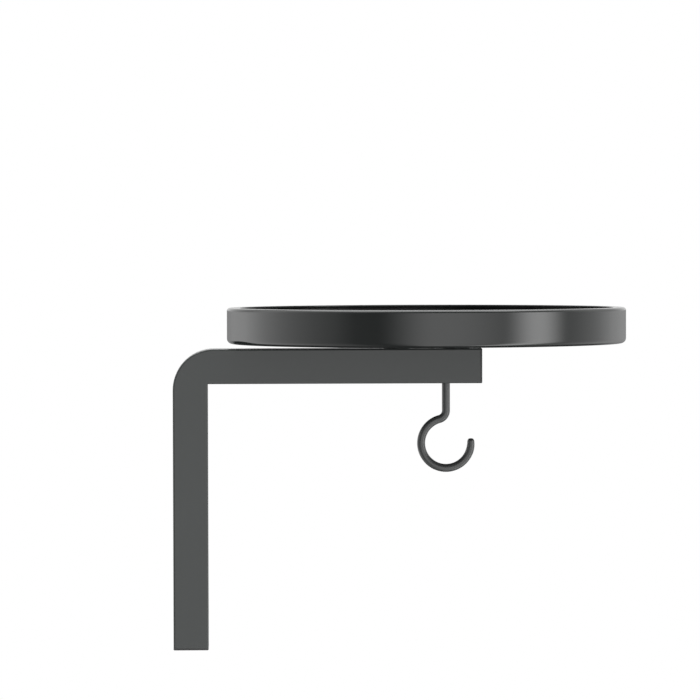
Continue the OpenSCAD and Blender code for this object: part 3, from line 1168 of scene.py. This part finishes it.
# %% [markdown]
# ## The rivet nuts
#
# A rivet nut is a soft steel sleeve: a thin flange, a body with small ribs that bite into the hole,
# and a bulge below the wall where the tool has pulled it tight. Inside, the lower part is threaded.

# %% Press the rivet nuts
TUBE_WALL = 1.5 * MM
SLEEVE_R = 3.0 * MM
SLEEVE_BREAK = 0.2 * MM
SLEEVE_RINGS_LOW = 0.6 * MM
SLEEVE_RINGS_HIGH = 0.3 * MM
SLEEVE_STEP = 0.5 * MM
BULGE_R = 3.9 * MM
BULGE_H = 2.4 * MM
BULGE_STEPS = 4
BULGE_CURVE = 1.5
BULGE_CLOSED = 0.96
RIB_COUNT = 24
RIB_DEPTH = 0.12 * MM
RIB_START = 0.4 * MM
RIVET_SIDES = 72


def rivet_nut_mesh(x, arm_top, flange_top, bottom, flange_r):
    """One rivet nut, from the bottom of its sleeve to its flange on top of the arm."""
    grip_top = arm_top - TUBE_WALL
    grip_low = grip_top - BULGE_H

    def ribs(radius, z, angle):
        if abs(radius - SLEEVE_R) < SAME_RADIUS and bottom + RIB_START < z < grip_low:
            return radius - RIB_DEPTH * (0.5 - 0.5 * math.cos(RIB_COUNT * angle))
        return radius

    outside = [(BORE_R + BORE_CHAMFER, bottom), (SLEEVE_R - SLEEVE_BREAK, bottom)]
    outside += [(SLEEVE_R, bottom + SLEEVE_BREAK)]
    ribbed = fine_steps(bottom + SLEEVE_RINGS_LOW, grip_low - SLEEVE_RINGS_HIGH, SLEEVE_STEP)
    outside += [(SLEEVE_R, z) for z in ribbed + [grip_low]]
    for i in range(1, BULGE_STEPS + 1):
        share = i / BULGE_STEPS
        swell = math.sin(share * math.pi / 2) ** BULGE_CURVE
        z = grip_low + BULGE_H * share * BULGE_CLOSED
        outside.append((SLEEVE_R + (BULGE_R - SLEEVE_R) * swell, z))
    outside += [(SLEEVE_R, grip_top), (SLEEVE_R, arm_top), (flange_r, arm_top)]
    outside += [(flange_r, flange_top - SLEEVE_BREAK), (flange_r - SLEEVE_BREAK, flange_top)]
    inside = [(BORE_R + BORE_CHAMFER, flange_top), (BORE_R, flange_top - BORE_CHAMFER)]
    inside += [(BORE_R, z) for z in fine_steps(grip_low, bottom + BORE_CHAMFER, THREAD_STEP)]
    relief = nut_relief(bottom, grip_low, ribs)
    return move_out(skin(turned_rings(outside + inside, RIVET_SIDES, relief), closed=True), x)


nuts_low, nuts_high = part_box("tray_rivet_nuts")
flange_r = (nuts_high.y - nuts_low.y) / 2
arm_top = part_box("bracket")[1].z
for label, x in zip(("inner", "outer"), screw_xs):
    mesh = rivet_nut_mesh(x, arm_top, nuts_high.z, nuts_low.z, flange_r)
    nut = piece_from(mesh, f"rivet_nut_{label}", bright_zinc, "shelf", "tray_rivet_nuts")

# %% [markdown]
# ## The weld nut
#
# The hook's nut is welded inside the arm. Its hexagon is a ring whose radius follows six flats, and
# the chamfer on top comes from cutting that radius short near the upper face, which leaves the
# curved arcs that a real nut has at its corners. A plain collar below centres it in the hole.

# %% Make the weld nut
WELD_SIDES = 96
COLLAR_R = 3.1 * MM
COLLAR_BREAK = 0.1 * MM
COLLAR_BORE_CHAMFER = 0.3 * MM
HEXAGON_FROM = 0.3 * MM
SEAT_INSET = 0.31 * MM
FLAT_START = 0.3 * MM
FLAT_STEP = 0.5 * MM
CHAMFER_ANGLE = math.radians(30)
CHAMFER_IN = 0.1 * MM
CHAMFER_STEPS = 5


def weld_nut_mesh(x, low, seat, top, flats):
    """The nut from its collar's foot to its top face. flats is the width across two flats."""
    half = flats / 2
    corner_r = half / math.cos(math.pi / 6)

    def hexagon(radius, z, angle):
        if radius > half - HEXAGON_FROM:
            sector = (angle % (math.pi / 3)) - math.pi / 6
            return min(radius, half / math.cos(sector))
        return radius

    chamfer_in = corner_r - half + CHAMFER_IN
    chamfer = chamfer_in * math.tan(CHAMFER_ANGLE)
    outside = [(BORE_R + COLLAR_BORE_CHAMFER, low), (COLLAR_R - COLLAR_BREAK, low)]
    outside += [(COLLAR_R, low + COLLAR_BREAK), (COLLAR_R, seat)]
    outside += [(half - SEAT_INSET, seat), (corner_r, seat)]
    outside += [(corner_r, z) for z in fine_steps(seat + FLAT_START, top - chamfer, FLAT_STEP)]
    for i in range(1, CHAMFER_STEPS + 1):
        share = i / CHAMFER_STEPS
        outside.append((corner_r - chamfer_in * share, top - chamfer * (1 - share)))
    thread_zs = fine_steps(top - BORE_CHAMFER, low + COLLAR_BORE_CHAMFER, THREAD_STEP)
    inside = [(BORE_R + BORE_CHAMFER, top)] + [(BORE_R, z) for z in thread_zs]
    relief = nut_relief(low, top, hexagon)
    return move_out(skin(turned_rings(outside + inside, WELD_SIDES, relief), closed=True), x)


arm_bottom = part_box("arm_end_cap")[0].z
weld_flats = weld_high.y - weld_low.y
mesh = weld_nut_mesh(hook_x, weld_low.z, arm_bottom + TUBE_WALL, weld_high.z, weld_flats)
weld_nut = piece_from(mesh, "hook_nut_hexagon", bright_zinc, "shelf", "hook_weld_nut")
